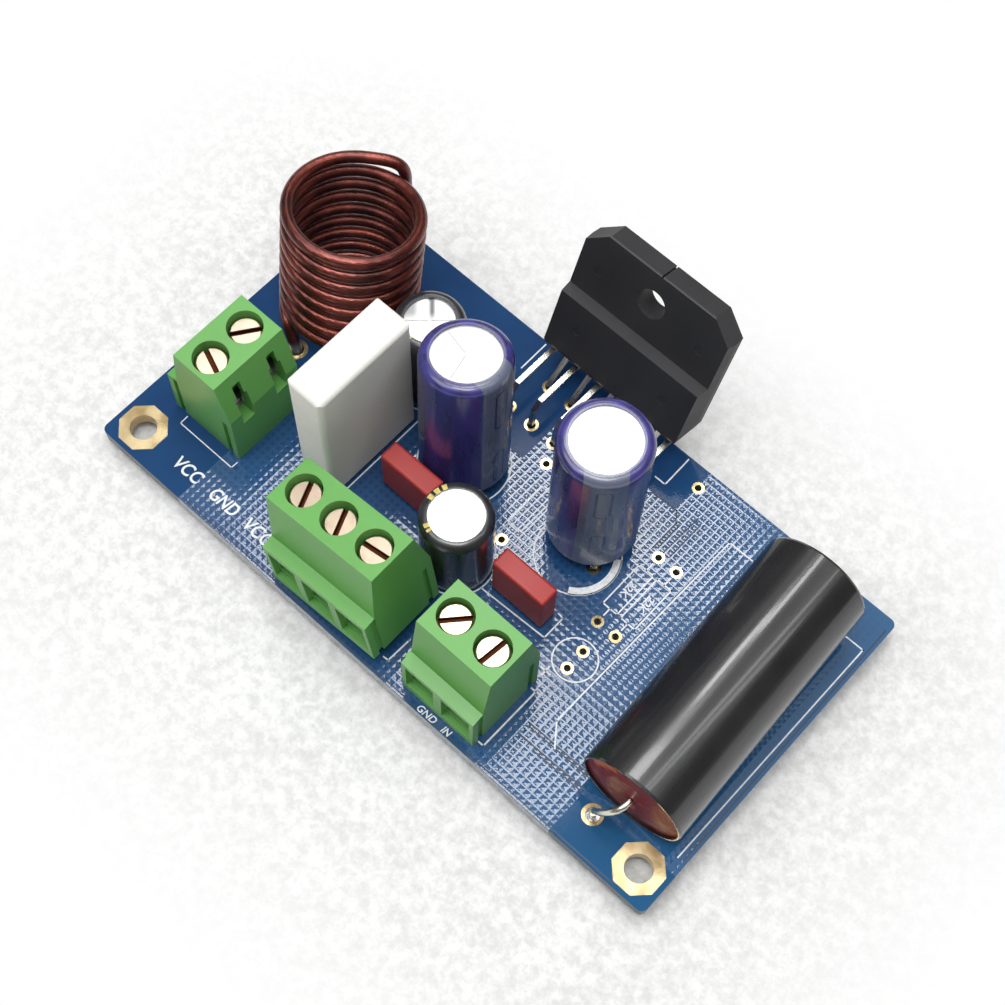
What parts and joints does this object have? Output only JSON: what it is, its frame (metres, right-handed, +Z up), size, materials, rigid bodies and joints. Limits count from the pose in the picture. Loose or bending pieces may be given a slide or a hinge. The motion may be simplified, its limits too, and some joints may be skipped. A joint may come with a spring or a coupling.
{
  "type": "amplifier_circuit_board",
  "caption": "Small audio amplifier circuit board with screw terminals, an air coil, capacitors, a ceramic resistor and a leaning power chip for a heat sink",
  "frame": {"origin": "midway between the two mounting holes, on the underside of the board", "axes": "X along the board's long edge from the coil end to the film capacitor, Y from the terminals to the chip, Z up out of the component side"},
  "size_m": [0.08, 0.0494, 0.0261],
  "materials": {
    "board_lacquer": "blue solder lacquer over woven glass board, printed copper showing through",
    "green_plastic": "moulded, satin",
    "yellow_steel": "yellow passivated",
    "plated_steel": "plated",
    "tinned_brass": "tinned",
    "enamelled_copper": "red brown wire enamel, glossy",
    "white_ceramic": "dull, unglazed",
    "tinned_wire": "tinned",
    "can_aluminium": "bright drawn",
    "blue_sleeve": "shrunk film, glossy, printed stripe",
    "black_sleeve": "shrunk film, glossy",
    "bung_rubber": "dull",
    "red_plastic": "moulded, dull",
    "red_resin": "cast end fill, uneven",
    "black_wrap": "tape wrap, glossy",
    "black_moulding": "moulded, fine grain",
    "solder_metal": "bright solder"
  },
  "bodies": {
    "board_body": {"board": "board_lacquer", "housing_a": "green_plastic", "housing_b": "green_plastic", "housing_c": "green_plastic", "pin_1": "tinned_brass", "pin_2": "tinned_brass", "pin_3": "tinned_brass", "pin_4": "tinned_brass", "pin_5": "tinned_brass", "pin_6": "tinned_brass", "pin_7": "tinned_brass", "coil": "enamelled_copper", "resistor_case": "white_ceramic", "resistor_legs": "tinned_wire", "tall_can_1": "can_aluminium", "tall_sleeve_1": "blue_sleeve", "tall_bung_1": "bung_rubber", "tall_legs_1": "tinned_wire", "tall_can_2": "can_aluminium", "tall_sleeve_2": "blue_sleeve", "tall_bung_2": "bung_rubber", "tall_legs_2": "tinned_wire", "short_can": "can_aluminium", "short_sleeve": "black_sleeve", "short_bung": "bung_rubber", "short_legs": "tinned_wire", "small_can": "can_aluminium", "small_sleeve": "black_sleeve", "small_bung": "bung_rubber", "small_legs": "tinned_wire", "box_1": "red_plastic", "box_legs_1": "tinned_wire", "box_2": "red_plastic", "box_legs_2": "tinned_wire", "film_core": "red_resin", "film_wrap": "black_wrap", "film_legs": "tinned_wire", "chip_body": "black_moulding", "chip_legs": "tinned_wire", "solder": "solder_metal"},
    "screw_1_body": {"screw_1": "yellow_steel"},
    "cage_1_body": {"cage_1": "plated_steel"},
    "screw_2_body": {"screw_2": "yellow_steel"},
    "cage_2_body": {"cage_2": "plated_steel"},
    "screw_3_body": {"screw_3": "yellow_steel"},
    "cage_3_body": {"cage_3": "plated_steel"},
    "screw_4_body": {"screw_4": "yellow_steel"},
    "cage_4_body": {"cage_4": "plated_steel"},
    "screw_5_body": {"screw_5": "yellow_steel"},
    "cage_5_body": {"cage_5": "plated_steel"},
    "screw_6_body": {"screw_6": "yellow_steel"},
    "cage_6_body": {"cage_6": "plated_steel"},
    "screw_7_body": {"screw_7": "yellow_steel"},
    "cage_7_body": {"cage_7": "plated_steel"}
  },
  "joints": [
    {"name": "screw_1_turn", "type": "hinge", "parent": "board_body", "child": "screw_1_body", "pos_m": [-0.03055, 0.0121, 0.0136], "axis": [0, 0, -1], "range_deg": [0, 1728.5]},
    {"name": "cage_1_lift", "type": "slide", "parent": "board_body", "child": "cage_1_body", "axis": [0, 0, 1], "range_m": [0, 0.0024]},
    {"name": "screw_2_turn", "type": "hinge", "parent": "board_body", "child": "screw_2_body", "pos_m": [-0.03055, 0.0071, 0.0136], "axis": [0, 0, -1], "range_deg": [0, 1728.5]},
    {"name": "cage_2_lift", "type": "slide", "parent": "board_body", "child": "cage_2_body", "axis": [0, 0, 1], "range_m": [0, 0.0024]},
    {"name": "screw_3_turn", "type": "hinge", "parent": "board_body", "child": "screw_3_body", "pos_m": [-0.01213, 0.00286, 0.01382], "axis": [0.1288, 0.0013, -0.9917], "range_deg": [0, 1728.5]},
    {"name": "cage_3_lift", "type": "slide", "parent": "board_body", "child": "cage_3_body", "axis": [-0.1288, -0.0013, 0.9917], "range_m": [0, 0.0024]},
    {"name": "screw_4_turn", "type": "hinge", "parent": "board_body", "child": "screw_4_body", "pos_m": [-0.00717, 0.00291, 0.01447], "axis": [0.1288, 0.0013, -0.9917], "range_deg": [0, 1728.5]},
    {"name": "cage_4_lift", "type": "slide", "parent": "board_body", "child": "cage_4_body", "axis": [-0.1288, -0.0013, 0.9917], "range_m": [0, 0.0024]},
    {"name": "screw_5_turn", "type": "hinge", "parent": "board_body", "child": "screw_5_body", "pos_m": [-0.00221, 0.00296, 0.01511], "axis": [0.1288, 0.0013, -0.9917], "range_deg": [0, 1728.5]},
    {"name": "cage_5_lift", "type": "slide", "parent": "board_body", "child": "cage_5_body", "axis": [-0.1288, -0.0013, 0.9917], "range_m": [0, 0.0024]},
    {"name": "screw_6_turn", "type": "hinge", "parent": "board_body", "child": "screw_6_body", "pos_m": [0.00805, 0.00345, 0.0136], "axis": [0, 0, -1], "range_deg": [0, 1728.5]},
    {"name": "cage_6_lift", "type": "slide", "parent": "board_body", "child": "cage_6_body", "axis": [0, 0, 1], "range_m": [0, 0.0024]},
    {"name": "screw_7_turn", "type": "hinge", "parent": "board_body", "child": "screw_7_body", "pos_m": [0.01305, 0.00345, 0.0136], "axis": [0, 0, -1], "range_deg": [0, 1728.5]},
    {"name": "cage_7_lift", "type": "slide", "parent": "board_body", "child": "cage_7_body", "axis": [0, 0, 1], "range_m": [0, 0.0024]}
  ],
  "couplings": [
    {"joint": "screw_1_turn", "follows": "cage_1_lift", "rad_per_m": 12566},
    {"joint": "screw_2_turn", "follows": "cage_2_lift", "rad_per_m": 12566},
    {"joint": "screw_3_turn", "follows": "cage_3_lift", "rad_per_m": 12566},
    {"joint": "screw_4_turn", "follows": "cage_4_lift", "rad_per_m": 12566},
    {"joint": "screw_5_turn", "follows": "cage_5_lift", "rad_per_m": 12566},
    {"joint": "screw_6_turn", "follows": "cage_6_lift", "rad_per_m": 12566},
    {"joint": "screw_7_turn", "follows": "cage_7_lift", "rad_per_m": 12566}
  ]
}
